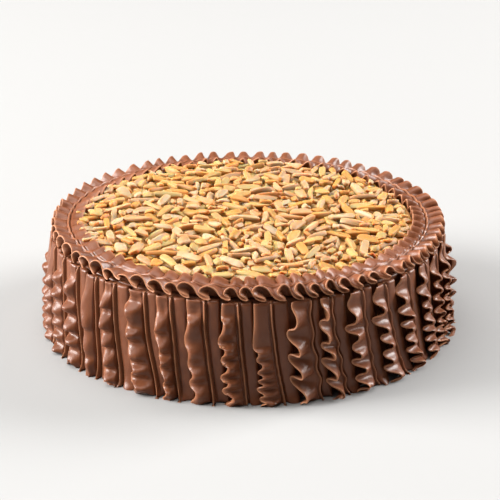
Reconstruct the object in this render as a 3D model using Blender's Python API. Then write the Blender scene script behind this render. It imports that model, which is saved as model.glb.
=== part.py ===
"""A nine-inch sans rival cake.

A solid iced round cake stands on z = 0. Forty upright ribbons of chocolate buttercream are piped
round its side, one ribbon of the same cream runs round the edge of its top, and a bed of toasted
slivered almonds fills the top inside that border. The axis of the cake is the z axis, and the
origin is the middle of its foot. Angles are counted from -y, the front, towards +x.
"""

import math

import bmesh
import bpy
import numpy as np

# Driving dimensions, in metres
CAKE_HEIGHT = 0.0570
CAKE_TOP_RADIUS = 0.1080
CAKE_FOOT_RADIUS = 0.1105
SEAM = 0.0003

# Upright ribbons: the ridge that the tip leaves down the middle of each, and its two sides
RIBBON_COUNT = 40
RIDGE_TOP_RADIUS = 0.1120
RIDGE_FOOT_RADIUS = 0.1155
RIDGE_HEIGHT = 0.0016
RIDGE_WIDTH = 0.0013
FRILL_SHARE = 0.57
BAND_SHARE = 0.45
FRILL_STAND = 0.0036
FRILL_WAVE = 0.0031
FRILL_SWAY = 0.0016
FRILL_DROOP = 0.16
FRILL_ROOT = 0.0035
FRILL_BELLY = 0.62
FRILL_BELLY_RISE = 0.62
OPENING_AT_TOP = 0.25
OPENING_RATE = 2.5
CROWDING = 0.87
SLANT_BEND = 1.5
BAND_DROP = 0.0004

# The front ribbons as piped, from the left of the front to the right
FIRST_RIBBON_ANGLE = math.radians(-64.5)
FRONT_STEPS = (17, 18, 14, 20, 16, 18, 18, 17, 21, 12, 19, 16, 19, 19)
FRONT_SLANTS = (8, 10, 5, 7, 10, 6, 6, 5, 7, 6, 9, 9, 14, 12, 12)
FRONT_WAVES = (6, 5, 3, 5, 5, 5, 4, 5, 6, 4, 5, 5, 5, 6, 7, 7, 7)
FRONT_DEPTHS = (1.0, 1.0, 0.4, 1.0, 0.9, 0.7, 0.6, 0.8, 0.8, 1.25, 1.2, 1.15, 1.1, 1.15, 1.0, 1.1, 1.1)
FRONT_PLAIN_TOPS = (0.2, 0.2, 0.3, 0.1, 0.15, 0.2, 0.1, 0.1, 0.42, 0.0, 0.0, 0.1, 0.1, 0.1, 0.0, 0.1, 0.1)
MILLIMETRE = 0.001

# The ribbons that the front doesn't show are drawn at random between these
STEP_SPREAD = (0.86, 1.14)
SLANT_SPREAD = (6, 11)
WAVE_SPREAD = (5, 8)
DEPTH_SPREAD = (0.75, 1.15)
PLAIN_TOP_SPREAD = (0.05, 0.25)

# Top border: a ribbon laid flat on the edge, its outer side in curls and its inner side in arches
BORDER_WAVES = 70
BORDER_BASE = CAKE_HEIGHT + SEAM
BORDER_TIP_RADIUS = 0.1115
BORDER_TIP_HEIGHT = 0.0611
BORDER_CURL = 0.0038
BORDER_LEAN = 0.26
BORDER_TIP_SWING = 0.0010
BORDER_RIDGE_RADIUS = 0.1025
BORDER_RIDGE_HEIGHT = 0.0620
BORDER_INNER_RADIUS = 0.0943
BORDER_INNER_HEIGHT = 0.0611
BORDER_ARCH = 0.0014
BORDER_ROOT_RADIUS = 0.1065
BORDER_JOIN_ANGLE = math.radians(-38)
BORDER_JOIN_WIDTH = math.radians(5)
BORDER_JOIN_FLATNESS = 0.7
CURL_LENGTH_SPREAD = (0.85, 1.15)
CURL_DEPTH_SPREAD = (0.7, 1.0)
SAMPLES_PER_CURL = 4

# Almonds: a bed with whole slivers lying on it
ALMOND_RADIUS = 0.0930
BED_RADIUS = 0.0915
BED_TOP = 0.0604
BED_ROUGHNESS = 0.0006
BED_SIDES = 36
BED_RINGS = 3
BED_RING_SPACING = 0.7
SLIVER_COUNT = 96
SLIVER_EDGE_CLEARANCE = 0.004
SPIRAL_UNEVENNESS = 0.1
SLIVER_LENGTHS = (0.0120, 0.0185)
SLIVER_WIDTHS = (0.0032, 0.0044)
SLIVER_THICKNESSES = (0.0024, 0.0031)
SLIVER_TILT = math.radians(8)
LOWER_LIFT = 0.0002
UPPER_LIFT = 0.0009
UPPER_EVERY = 3
SLIVER_STATIONS = (-0.5, 0.08, 0.5)
SLIVER_TAPER = (0.5, 1.0, 0.6)

CAKE_SIDES = 80
SEED = 11

BUTTERCREAM = (0.245, 0.105, 0.056)
BUTTERCREAM_ROUGHNESS = 0.38
ALMOND = (0.72, 0.46, 0.17)
ALMOND_ROUGHNESS = 0.5
SHARP_ANGLE = math.radians(50)


def clear_scene():
    """Empty the scene of objects and their meshes."""
    for obj in list(bpy.data.objects):
        bpy.data.objects.remove(obj, do_unlink=True)
    for mesh in list(bpy.data.meshes):
        bpy.data.meshes.remove(mesh)


def food_material(name, color, roughness):
    """A Principled material of one colour, neither metal nor glass."""
    material = bpy.data.materials.new(name)
    material.use_nodes = True
    shader = material.node_tree.nodes["Principled BSDF"]
    shader.inputs["Base Color"].default_value = (*color, 1.0)
    shader.inputs["Roughness"].default_value = roughness
    shader.inputs["Metallic"].default_value = 0.0
    return material


def solid(name, points, faces, material):
    """A smooth-shaded mesh object from points and faces, with sharp edges kept."""
    mesh = bpy.data.meshes.new(name)
    mesh.from_pydata([tuple(point) for point in points], [], [tuple(face) for face in faces])
    mesh.validate()
    mesh.shade_smooth()
    mesh.set_sharp_from_angle(angle=SHARP_ANGLE)
    mesh.materials.append(material)
    obj = bpy.data.objects.new(name, mesh)
    bpy.context.scene.collection.objects.link(obj)
    return obj


def lofted(sections, closed):
    """Points and faces of a tube through closed sections, an array (sections, points, 3).

    A closed tube joins its last section to its first. An open one ends in flat caps.
    """
    count, size, _ = sections.shape
    last = count if closed else count - 1
    row, column = np.meshgrid(np.arange(last), np.arange(size), indexing="ij")
    after = (row + 1) % count
    beside = (column + 1) % size
    corners = (row * size + column, row * size + beside, after * size + beside, after * size + column)
    faces = [tuple(face) for face in np.stack(corners, axis=-1).reshape(-1, 4).tolist()]
    if not closed:
        faces.append(tuple(range(size))[::-1])
        faces.append(tuple(range((count - 1) * size, count * size)))
    return sections.reshape(-1, 3), faces


def on_circle(angle, radius, height):
    """The point at an angle from the front, a radius from the axis and a height."""
    shape = np.broadcast(angle, radius, height).shape
    point = np.empty((*shape, 3))
    point[..., 0] = radius * np.sin(angle)
    point[..., 1] = -radius * np.cos(angle)
    point[..., 2] = height
    return point


def with_front(front, rest):
    """Values for all the ribbons: those chosen for the front, then the drawn ones."""
    values = np.array(rest, float)
    values[: len(front)] = front
    return values


def ribbon_layout(draws):
    """The angle, slant, number of waves, depth of wave and plain top of every ribbon."""
    round_the_cake = 2 * math.pi * RIDGE_TOP_RADIUS
    front = np.array(FRONT_STEPS) * MILLIMETRE
    others = draws.uniform(*STEP_SPREAD, RIBBON_COUNT - len(front))
    others *= (round_the_cake - front.sum()) / others.sum()
    steps = np.concatenate([front, others])
    angles = FIRST_RIBBON_ANGLE + np.concatenate([[0.0], np.cumsum(steps)[:-1]]) / RIDGE_TOP_RADIUS
    slants = with_front(FRONT_SLANTS, draws.uniform(*SLANT_SPREAD, RIBBON_COUNT))
    slants *= MILLIMETRE / RIDGE_TOP_RADIUS
    waves = with_front(FRONT_WAVES, draws.integers(*WAVE_SPREAD, RIBBON_COUNT)).astype(int)
    depths = with_front(FRONT_DEPTHS, draws.uniform(*DEPTH_SPREAD, RIBBON_COUNT))
    plain_tops = with_front(FRONT_PLAIN_TOPS, draws.uniform(*PLAIN_TOP_SPREAD, RIBBON_COUNT))
    return angles, slants, waves, depths, plain_tops


def ridge_angle(angle, slant, fall):
    """The ridge bends to the right as it falls: its slant times a power of the fall."""
    return angle + slant * fall**SLANT_BEND


def ribbon_sections(index, layout):
    """The sections of one ribbon, from top to foot, with a row at each crest and trough of its frill.

    fall runs from 0 at the top to 1 at the foot. The free left edge stands off the cake by
    stand + wave * cos(phase). Its crests curl to the right by sway * cos(phase), and they droop
    by a share of the wave's own height.
    """
    angles, slants, waves, depths, plain_tops = layout
    count = waves[index]
    half_waves = np.arange(2 * count + 1)
    fall = plain_tops[index] + (1 - plain_tops[index]) * (half_waves / (2 * count)) ** CROWDING
    swing = np.where(half_waves % 2 == 1, 1.0, -1.0)
    if plain_tops[index] > 0:
        fall = np.concatenate([[0.0], fall])
        swing = np.concatenate([[0.0], swing])
    height = CAKE_HEIGHT * (1 - fall)
    middle = ridge_angle(angles[index], slants[index], fall)
    before = ridge_angle(angles[index - 1], slants[index - 1], fall)
    before = np.where(before > middle, before - 2 * math.pi, before)
    follower = (index + 1) % RIBBON_COUNT
    after = ridge_angle(angles[follower], slants[follower], fall)
    after = np.where(after < middle, after + 2 * math.pi, after)

    opening = np.minimum(1.0, OPENING_AT_TOP + OPENING_RATE * fall)
    ridge = RIDGE_TOP_RADIUS + (RIDGE_FOOT_RADIUS - RIDGE_TOP_RADIUS) * fall
    core = CAKE_TOP_RADIUS + (CAKE_FOOT_RADIUS - CAKE_TOP_RADIUS) * fall + SEAM
    band = ridge - RIDGE_HEIGHT
    wave = FRILL_WAVE * depths[index] * opening * swing
    sway = FRILL_SWAY * depths[index] * opening * swing / ridge
    edge = ridge + FRILL_STAND * opening + wave
    wave_height = 2 * np.abs(np.gradient(height))
    droop = np.where((fall > 0) & (fall < 1), FRILL_DROOP * wave_height * swing, 0.0)

    left = middle - FRILL_SHARE * (middle - before) + sway
    right = middle + BAND_SHARE * (after - middle)
    belly = middle - FRILL_BELLY * (middle - left)
    belly_edge = ridge + FRILL_BELLY_RISE * (edge - ridge)
    root = middle - FRILL_ROOT / core
    ridge_foot = middle + RIDGE_WIDTH / ridge
    ring = (
        on_circle(left, edge, height - droop),
        on_circle(root, core, height),
        on_circle(right, core, height),
        on_circle(right, band - BAND_DROP, height),
        on_circle(ridge_foot, band, height),
        on_circle(middle, ridge, height),
        on_circle(belly, belly_edge, height - droop * FRILL_BELLY**2),
    )
    return np.stack(ring, axis=1)


def make_ribbons(material):
    """The upright ribbons, each a solid of its own."""
    layout = ribbon_layout(np.random.default_rng(SEED))
    for index in range(RIBBON_COUNT):
        points, faces = lofted(ribbon_sections(index, layout), closed=False)
        solid(f"side_ruffle_{index + 1:02d}", points, faces, material)


def make_border(material):
    """The ribbon round the top edge.

    Its outer edge follows a breaking wave: height = curl * cos(phase), with the crests moved
    to the left by a share of the wave's length. Its inner edge is lower and less deep.
    """
    draws = np.random.default_rng(SEED + 1)
    lengths = draws.uniform(*CURL_LENGTH_SPREAD, BORDER_WAVES)
    lengths *= 2 * math.pi / lengths.sum()
    depths = draws.uniform(*CURL_DEPTH_SPREAD, BORDER_WAVES)
    starts = np.concatenate([[0.0], np.cumsum(lengths)[:-1]])
    share = np.arange(SAMPLES_PER_CURL) / SAMPLES_PER_CURL
    phase = np.tile(2 * math.pi * share, BORDER_WAVES)
    along = (starts[:, None] + lengths[:, None] * share).ravel()
    length = np.repeat(lengths, SAMPLES_PER_CURL)
    depth = np.repeat(depths, SAMPLES_PER_CURL)
    from_join = (along - BORDER_JOIN_ANGLE + math.pi) % (2 * math.pi) - math.pi
    depth *= 1 - BORDER_JOIN_FLATNESS * np.exp(-((from_join / BORDER_JOIN_WIDTH) ** 2))
    crest = np.cos(phase)
    tip_height = np.maximum(BORDER_TIP_HEIGHT + BORDER_CURL * depth * crest, BORDER_BASE)
    tip_angle = along - BORDER_LEAN * length * depth * crest
    inner_height = BORDER_INNER_HEIGHT + BORDER_ARCH * depth * crest
    ring = (
        on_circle(along, BORDER_ROOT_RADIUS, BORDER_BASE),
        on_circle(along, BORDER_INNER_RADIUS, BORDER_BASE),
        on_circle(along, BORDER_INNER_RADIUS, inner_height),
        on_circle(along, BORDER_RIDGE_RADIUS, BORDER_RIDGE_HEIGHT),
        on_circle(tip_angle, BORDER_TIP_RADIUS - BORDER_TIP_SWING * crest, tip_height),
    )
    points, faces = lofted(np.stack(ring, axis=1), closed=True)
    return solid("top_border", points, faces, material)


def make_cake(material):
    """The iced cake itself, a solid that widens a little towards its foot."""
    angle = np.arange(CAKE_SIDES) * 2 * math.pi / CAKE_SIDES
    rings = [on_circle(angle, CAKE_FOOT_RADIUS, 0.0), on_circle(angle, CAKE_TOP_RADIUS, CAKE_HEIGHT)]
    points, faces = lofted(np.stack(rings), closed=False)
    return solid("cake", points, faces, material)


def almond_bed(draws, material):
    """The bed of almonds: a low disc with a slightly uneven top."""
    angle = np.arange(BED_SIDES) * 2 * math.pi / BED_SIDES
    rings = [on_circle(angle, BED_RADIUS, BORDER_BASE)]
    for ring in range(BED_RINGS):
        radius = BED_RADIUS * (1 - ring / BED_RINGS) ** BED_RING_SPACING
        height = BED_TOP + BED_ROUGHNESS * draws.uniform(-1, 1, BED_SIDES)
        rings.append(on_circle(angle, radius, height))
    points, faces = lofted(np.stack(rings), closed=False)
    return solid("almond_topping", points, faces, material)


def sliver(name, draws, place, material):
    """One almond sliver: a stick of four sides, widest in the middle, lying nearly flat."""
    length = draws.uniform(*SLIVER_LENGTHS)
    width = draws.uniform(*SLIVER_WIDTHS)
    thickness = draws.uniform(*SLIVER_THICKNESSES)
    turn = draws.uniform(0, math.pi)
    tilt = draws.uniform(-1, 1) * SLIVER_TILT
    along = np.array(SLIVER_STATIONS) * length
    share = np.array(SLIVER_TAPER)
    side = np.array((-1, 1, 1, -1)) * 0.5 * width
    rise = np.array((-1, -1, 1, 1)) * 0.5 * thickness
    points = np.empty((3, 4, 3))
    points[..., 0] = along[:, None]
    points[..., 1] = side * share[:, None]
    points[..., 2] = rise * (0.5 + 0.5 * share[:, None]) + along[:, None] * math.tan(tilt)
    spin = np.array(((math.cos(turn), -math.sin(turn)), (math.sin(turn), math.cos(turn))))
    points[..., :2] = points[..., :2] @ spin.T
    points += place
    reach = np.hypot(points[..., 0], points[..., 1]).max()
    if reach > ALMOND_RADIUS:
        points[..., :2] *= 1 - (reach - ALMOND_RADIUS) / np.hypot(place[0], place[1])
        points[..., :2] *= min(1.0, ALMOND_RADIUS / np.hypot(points[..., 0], points[..., 1]).max())
    points[..., 2] = np.maximum(points[..., 2], BORDER_BASE + SEAM)
    points, faces = lofted(points, closed=False)
    return solid(name, points, faces, material)


def keep_outer_skin(mesh):
    """Drop every loose shell but the largest: scraps, and the walls of hollows sealed inside."""
    work = bmesh.new()
    work.from_mesh(mesh)
    unseen = set(work.verts)
    shells = []
    while unseen:
        shell = {unseen.pop()}
        front = list(shell)
        while front:
            vertex = front.pop()
            for edge in vertex.link_edges:
                other = edge.other_vert(vertex)
                if other in unseen:
                    unseen.discard(other)
                    shell.add(other)
                    front.append(other)
        shells.append(shell)
    largest = max(shells, key=len)
    loose = [vertex for vertex in work.verts if vertex not in largest]
    bmesh.ops.delete(work, geom=loose, context="VERTS")
    work.to_mesh(mesh)
    work.free()


def make_almonds(material):
    """The bed with its slivers joined to it: spread in a spiral, the later ones lying higher."""
    draws = np.random.default_rng(SEED + 2)
    bed = almond_bed(draws, material)
    golden = math.pi * (3 - math.sqrt(5))
    helpers = bpy.data.collections.new("slivers")
    bpy.context.scene.collection.children.link(helpers)
    for number in range(SLIVER_COUNT):
        radius = (ALMOND_RADIUS - SLIVER_EDGE_CLEARANCE) * math.sqrt((number + 0.5) / SLIVER_COUNT)
        angle = number * golden + draws.uniform(-SPIRAL_UNEVENNESS, SPIRAL_UNEVENNESS)
        height = BED_TOP + (LOWER_LIFT if number % UPPER_EVERY else UPPER_LIFT)
        place = on_circle(angle, radius, height)
        stick = sliver(f"sliver_{number:03d}", draws, place, material)
        bpy.context.scene.collection.objects.unlink(stick)
        helpers.objects.link(stick)
    union = bed.modifiers.new("slivers", "BOOLEAN")
    union.operation = "UNION"
    union.operand_type = "COLLECTION"
    union.collection = helpers
    union.solver = "MANIFOLD"
    bpy.context.view_layer.objects.active = bed
    bpy.ops.object.modifier_apply(modifier=union.name)
    keep_outer_skin(bed.data)
    for stick in list(helpers.objects):
        bpy.data.objects.remove(stick, do_unlink=True)
    bpy.data.collections.remove(helpers)
    return bed


def main():
    clear_scene()
    buttercream = food_material("chocolate_buttercream", BUTTERCREAM, BUTTERCREAM_ROUGHNESS)
    almond = food_material("toasted_almond", ALMOND, ALMOND_ROUGHNESS)
    make_cake(buttercream)
    make_ribbons(buttercream)
    make_border(buttercream)
    make_almonds(almond)


main()
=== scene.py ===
"""The finished look of a nine-inch sans rival cake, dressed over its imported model.

Lengths are in metres. Angles round the cake are counted from -y, its front, towards +x, and
heights from the surface that the cake stands on.
"""

import math
from collections import namedtuple

import bpy
import numpy as np
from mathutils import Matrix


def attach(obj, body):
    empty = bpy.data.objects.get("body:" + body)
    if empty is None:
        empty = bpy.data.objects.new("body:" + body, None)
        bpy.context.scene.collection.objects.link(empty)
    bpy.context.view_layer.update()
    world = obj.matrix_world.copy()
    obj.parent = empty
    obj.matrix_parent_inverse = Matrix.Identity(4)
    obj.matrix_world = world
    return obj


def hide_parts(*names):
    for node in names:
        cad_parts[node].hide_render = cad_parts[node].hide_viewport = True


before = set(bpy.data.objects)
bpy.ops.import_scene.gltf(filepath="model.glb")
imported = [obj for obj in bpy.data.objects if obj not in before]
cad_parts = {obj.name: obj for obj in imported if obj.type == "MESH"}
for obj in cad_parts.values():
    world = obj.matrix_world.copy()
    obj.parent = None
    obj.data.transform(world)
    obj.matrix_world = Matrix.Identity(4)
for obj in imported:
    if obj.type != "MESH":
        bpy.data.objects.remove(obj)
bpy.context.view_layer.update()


# The iced cake
# Nut meringue layers and buttercream under one more coat of milk-chocolate buttercream.
# The coat is spread with a palette knife while the cake turns, which leaves faint level tracks.
CAKE_HEIGHT = 0.0570
CAKE_TOP_RADIUS = 0.1080
CAKE_FOOT_RADIUS = 0.1105
COAT_CORNER = 0.0015
COAT_SIDES = 160
COAT_FOOT_RINGS = 12
COAT_SIDE_RINGS = 40
COAT_CORNER_RINGS = 6
COAT_TOP_RINGS = 30
SMALLEST_RING = 0.02
KNIFE_TRACK = 0.00012
KNIFE_TRACKS_UP = 9
KNIFE_TRACKS_ROUND = 5
KNIFE_SWING = 1.3
SHARP_ANGLE = math.radians(50)
BUTTERCREAM = (0.154, 0.0505, 0.0220, 1)
BUTTERCREAM_DEEP = (0.112, 0.0340, 0.0130, 1)
# A paler tone painted on thin edges and lips as glow and highlight
PAINTED_GLOW_TONE = (0.390, 0.170, 0.086, 1)
PIPING_TRACKS = (2200.0, 90.0, 1.0)
# The places of a colour mix's sockets, whose names are used more than once
MIX_SHARE, MIX_LOW, MIX_HIGH = 0, 6, 7
MIX_RESULT = 2


def on_circle(angle, radius, height):
    """The point at an angle from the front, a radius from the axis and a height."""
    shape = np.broadcast(angle, radius, height).shape
    point = np.empty((*shape, 3))
    point[..., 0] = radius * np.sin(angle)
    point[..., 1] = -radius * np.cos(angle)
    point[..., 2] = height
    return point


def grid_faces(rows, columns, rows_close=False):
    """Quads between neighbours of a grid whose columns run all the way round. The rows may close too."""
    last = rows if rows_close else rows - 1
    row, column = np.meshgrid(np.arange(last), np.arange(columns), indexing="ij")
    after = (row + 1) % rows
    beside = (column + 1) % columns
    corners = (
        row * columns + column,
        row * columns + beside,
        after * columns + beside,
        after * columns + column,
    )
    return np.stack(corners, axis=-1).reshape(-1, 4)


def turned_faces(rows, columns):
    """Quads of a turned surface, and one face that closes the ring at each of its ends."""
    first = list(range(columns))[::-1]
    last = list(range((rows - 1) * columns, rows * columns))
    return grid_faces(rows, columns).tolist() + [first, last]


def food_piece(name, points, faces, finish, nodes, painted_glow=None, piping=None, sharp=SHARP_ANGLE):
    """A smooth mesh piece on the cake.

    The painted glow is the share of a paler tone painted at each point, up to 1, standing in for
    light through thin edges and for highlights on lips; piping is the point's place across and along
    its ribbon.
    """
    mesh = bpy.data.meshes.new(name)
    mesh.from_pydata(points.reshape(-1, 3).tolist(), [], faces)
    mesh.shade_smooth()
    mesh.set_sharp_from_angle(angle=sharp)
    if painted_glow is not None:
        layer = mesh.attributes.new("painted_glow", "FLOAT", "POINT")
        layer.data.foreach_set("value", painted_glow.ravel().astype(np.float32))
    if piping is not None:
        corner_point = np.empty(len(mesh.loops), np.int32)
        mesh.loops.foreach_get("vertex_index", corner_point)
        layer = mesh.uv_layers.new(name="piping")
        layer.data.foreach_set("uv", piping.reshape(-1, 2)[corner_point].ravel().astype(np.float32))
    mesh.materials.append(finish)
    piece = bpy.data.objects.new(name, mesh)
    bpy.context.scene.collection.objects.link(piece)
    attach(piece, "root")
    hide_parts(*nodes)
    return piece


def set_values(node, **settings):
    """Sets a shader node's plain settings and the values of its sockets by name, and returns it."""
    for key, value in settings.items():
        if hasattr(node, key):
            setattr(node, key, value)
        else:
            node.inputs[key.replace("_", " ")].default_value = value
    return node


def new_finish(name):
    """A material, its node tree and its shader."""
    finish = bpy.data.materials.new(name)
    finish.use_nodes = True
    return finish, finish.node_tree, finish.node_tree.nodes["Principled BSDF"]


def noise(tree, scale, detail, place=None):
    """Cloudy noise in the object's own coordinates, or in others that are given."""
    if place is None:
        place = tree.nodes.new("ShaderNodeTexCoord").outputs["Object"]
    clouds = set_values(tree.nodes.new("ShaderNodeTexNoise"), Scale=scale, Detail=detail)
    tree.links.new(place, clouds.inputs["Vector"])
    return clouds.outputs["Fac"]


def spread(tree, value, **ends):
    """A value carried over from one range to another, in a straight line and no further."""
    between = set_values(tree.nodes.new("ShaderNodeMapRange"), **ends)
    tree.links.new(value, between.inputs["Value"])
    return between.outputs["Result"]


def mixed_tone(tree, share, low, high):
    """The tone from low, which may be a socket, to high as the share goes from 0 to 1."""
    mix = set_values(tree.nodes.new("ShaderNodeMix"), data_type="RGBA")
    tree.links.new(share, mix.inputs[MIX_SHARE])
    if isinstance(low, tuple):
        mix.inputs[MIX_LOW].default_value = low
    else:
        tree.links.new(low, mix.inputs[MIX_LOW])
    mix.inputs[MIX_HIGH].default_value = high
    return mix.outputs[MIX_RESULT]


def relief(tree, height, strength, distance, under=None):
    """The normal of a fine relief, laid over that of another one if it is given."""
    bump = set_values(tree.nodes.new("ShaderNodeBump"), Strength=strength, Distance=distance)
    tree.links.new(height, bump.inputs["Height"])
    if under is not None:
        tree.links.new(under, bump.inputs["Normal"])
    return bump.outputs["Normal"]


def buttercream_finish():
    """Chocolate buttercream: soft gloss, fine piping tracks, painted glow on thin edges, painted highlight on
    lips.
    """
    finish, tree, shader = new_finish("chocolate_buttercream")
    clouds = noise(tree, scale=45.0, detail=3.0)
    depth = spread(tree, clouds, From_Min=0.25, From_Max=0.6)
    tone = mixed_tone(tree, depth, BUTTERCREAM_DEEP, BUTTERCREAM)
    # Painted glow and highlight: a paler tone mixed in by an attribute, standing in for light through thin
    # edges and on lips
    painted_glow = set_values(tree.nodes.new("ShaderNodeAttribute"), attribute_name="painted_glow").outputs["Fac"]
    tree.links.new(mixed_tone(tree, painted_glow, tone, PAINTED_GLOW_TONE), shader.inputs["Base Color"])

    ribbon = set_values(tree.nodes.new("ShaderNodeUVMap"), uv_map="piping")
    stretch = set_values(tree.nodes.new("ShaderNodeMapping"), Scale=PIPING_TRACKS)
    tree.links.new(ribbon.outputs["UV"], stretch.inputs["Vector"])
    tracks = noise(tree, scale=1.0, detail=2.0, place=stretch.outputs["Vector"])
    uneven = noise(tree, scale=130.0, detail=3.0)
    grain = noise(tree, scale=360.0, detail=3.0)
    normal = relief(tree, tracks, strength=0.35, distance=0.00010)
    normal = relief(tree, uneven, strength=0.50, distance=0.00120, under=normal)
    normal = relief(tree, grain, strength=0.40, distance=0.00030, under=normal)
    tree.links.new(normal, shader.inputs["Normal"])

    gloss = spread(tree, clouds, From_Min=0.3, From_Max=0.7, To_Min=0.31, To_Max=0.46)
    tree.links.new(gloss, shader.inputs["Roughness"])
    set_values(shader, IOR=1.42, Specular_IOR_Level=0.30, Coat_Weight=0.08, Coat_Roughness=0.20)
    set_values(shader, Subsurface_Weight=0.12, Subsurface_Radius=(1.0, 0.45, 0.25), Subsurface_Scale=0.0015)
    return finish


def iced_coat():
    """The coat as a turned surface.

    Its profile runs from the middle of the foot, up the side and round the corner to the middle
    of the top. The knife's tracks are a sine up the side, whose phase swings by a sine round it.
    """
    side = np.linspace(0, 1, COAT_SIDE_RINGS)
    bend = np.linspace(0, math.pi / 2, COAT_CORNER_RINGS)[1:]
    inwards = np.linspace(1, SMALLEST_RING, COAT_TOP_RINGS)[1:]
    radius = np.concatenate([
        CAKE_FOOT_RADIUS * np.linspace(SMALLEST_RING, 1 - SMALLEST_RING, COAT_FOOT_RINGS),
        CAKE_FOOT_RADIUS + (CAKE_TOP_RADIUS - CAKE_FOOT_RADIUS) * side,
        CAKE_TOP_RADIUS - COAT_CORNER * (1 - np.cos(bend)),
        (CAKE_TOP_RADIUS - COAT_CORNER) * inwards,
    ])
    height = np.concatenate([
        np.zeros(COAT_FOOT_RINGS),
        (CAKE_HEIGHT - COAT_CORNER) * side,
        CAKE_HEIGHT - COAT_CORNER * (1 - np.sin(bend)),
        np.full(len(inwards), CAKE_HEIGHT),
    ])[:, None]
    angle = np.arange(COAT_SIDES) * 2 * math.pi / COAT_SIDES
    up = height / CAKE_HEIGHT * 2 * math.pi * KNIFE_TRACKS_UP
    tracks = KNIFE_TRACK * np.sin(up + KNIFE_SWING * np.sin(KNIFE_TRACKS_ROUND * angle))
    on_side = (height > 0) & (height < CAKE_HEIGHT)
    points = on_circle(angle, radius[:, None] + tracks * on_side, height)
    piping = np.stack(np.broadcast_arrays(height, angle * CAKE_TOP_RADIUS), axis=-1)
    return points, turned_faces(len(radius), COAT_SIDES), np.zeros(points.shape[:2]), piping


buttercream = buttercream_finish()
points, faces, painted_glow, piping = iced_coat()
food_piece("iced_cake", points, faces, buttercream, ["cake"], painted_glow, piping)


# The upright ribbons
# Forty ribbons of the same buttercream round the side, each piped from the top edge to the foot.
# The tip leaves a raised ridge and a groove down the middle, a smooth band on the right and a
# ruffled free edge on the left, which stands off the next ribbon's band and curls in waves.
RIBBON_COUNT = 40
RIDGE_TOP_RADIUS = 0.1120
RIDGE_FOOT_RADIUS = 0.1155
FIRST_RIBBON_ANGLE = math.radians(-64.5)
# The ribbons in the photo, from the left, with steps and slants in millimetres
FRONT_STEPS = (17, 18, 14, 20, 16, 18, 18, 17, 21, 12, 19, 16, 19, 19)
FRONT_SLANTS = (8, 10, 5, 7, 10, 6, 6, 5, 7, 6, 9, 9, 14, 12, 12)
FRONT_WAVES = (6, 5, 3, 5, 5, 5, 4, 5, 6, 4, 5, 5, 5, 6, 7, 7, 7)
FRONT_DEPTHS = (0.9, 1.0, 0.4, 1.1, 1.05, 1.0, 0.95, 1.05, 0.75, 1.25, 1.2, 1.15, 1.1, 1.15, 1.0, 1.1, 1.1)
FRONT_PLAIN_TOPS = (0.15, 0.1, 0.3, 0.05, 0.08, 0.12, 0.08, 0.08, 0.4, 0, 0, 0.1, 0.1, 0.1, 0, 0.1, 0.1)
FRONT_CURLS = (0, 0, 0, 0, 0, 0, 0, 0.1, 0.3, 1, 1, 0.8, 0.7, 0.6, 0.5, 0.5, 0.5)
FRONT_FOOT_SWAYS = (0.2, 0.2, 0.2, 0.2, 0.25, 0.35, 0.6, 0.75, 0.75, 1, 1, 1, 1, 1, 1, 1, 1)
MILLIMETRE = 0.001
# The limits of the other ribbons' values, which are drawn
STEP_SPREAD = (0.86, 1.14)
SLANT_SPREAD = (6, 11)
WAVE_SPREAD = (5, 8)
DEPTH_SPREAD = (0.75, 1.15)
PLAIN_TOP_SPREAD = (0.05, 0.25)
CURL_SPREAD = (0, 0.6)
FOOT_SWAY_SPREAD = (0.2, 1.0)
LAYOUT_SEED = 11
HAND_SEED = 31
SWING_SPREAD = (-0.50, 0.20)
PLACE_SPREAD = (-0.26, 0.26)
LEFT_RIBBONS = 3
LEFT_DEPTH = 0.7
LEFT_PLAIN_TOP = 0.3
# The widths, and how the frill stands off, swings, sags and tucks in
FRILL_SHARE = 0.57
BAND_SHARE = 0.45
FRILL_STAND = 0.0044
FOOT_CLOSING = 0.25
PILLOW_TOP = 0.74
PUFF_RISE = 0.52
PILLOW_WAVE = 0.0024
CURLED_WAVE = 0.0027
CURLED_POWER = 1.2
CURLED_WAVE_POWER = 1.3
PILLOW_SWAY = 0.0010
PILLOW_FOOT_SWAY = 0.0032
FULL_PERIOD = 0.0095
SHORT_DEPTH = 0.60
CURLED_SWAY = 0.0026
SWAY_POWER = 1.6
CREST_BULGE = 0.0007
PILLOW_DROOP = 0.05
FOOT_DROOP = 0.22
CURLED_DROOPS = (0.04, 0.13)
CREST_SHARPNESS = 0.90
EDGE_TUCK = 0.0009
CREST_TUCK = 0.0013
TUCK_FROM = 0.72
TUCK_REACH = 0.28
PILLOW_SQUARENESS = 0.02
CURLED_SQUARENESS = 0.045
CURLED_LEAN = -0.035
CREST_ROUNDNESS = 0.16
FRILL_EDGE = 0.00045
FRILL_ROOT_THICKNESS = 0.0030
FRILL_ROOT_POWER = 1.3
FRILL_COLUMNS = 22
FRILL_CROWDING = 0.95
FRILL_ROOT = 0.0035
JOIN_OVERLAP = 0.002
JOIN_LENGTH = 0.0025
COLUMN_GAP = 0.0003
STAND_AT_TOP = 0.25
CURLED_STAND_AT_TOP = 0.55
STAND_LENGTH = 0.34
FOOT_CLOSING_LENGTH = 0.006
WAVE_AT_TOP = 0.35
WAVE_LENGTH = 0.16
STILL_TOP = 0.003
STILL_FOOT = 0.004
LEAST_HALF = 0.5
CROWDING = 0.87
FOOT_CROWDING = 0.18
SLANT_BEND = 1.5
GAP_AT_TOP = (0.06, 0.24)
GAP_LENGTH = 0.010
EDGE_WANDER = 0.070
EDGE_WANDER_LENGTHS = (0.012, 0.04)
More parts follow.
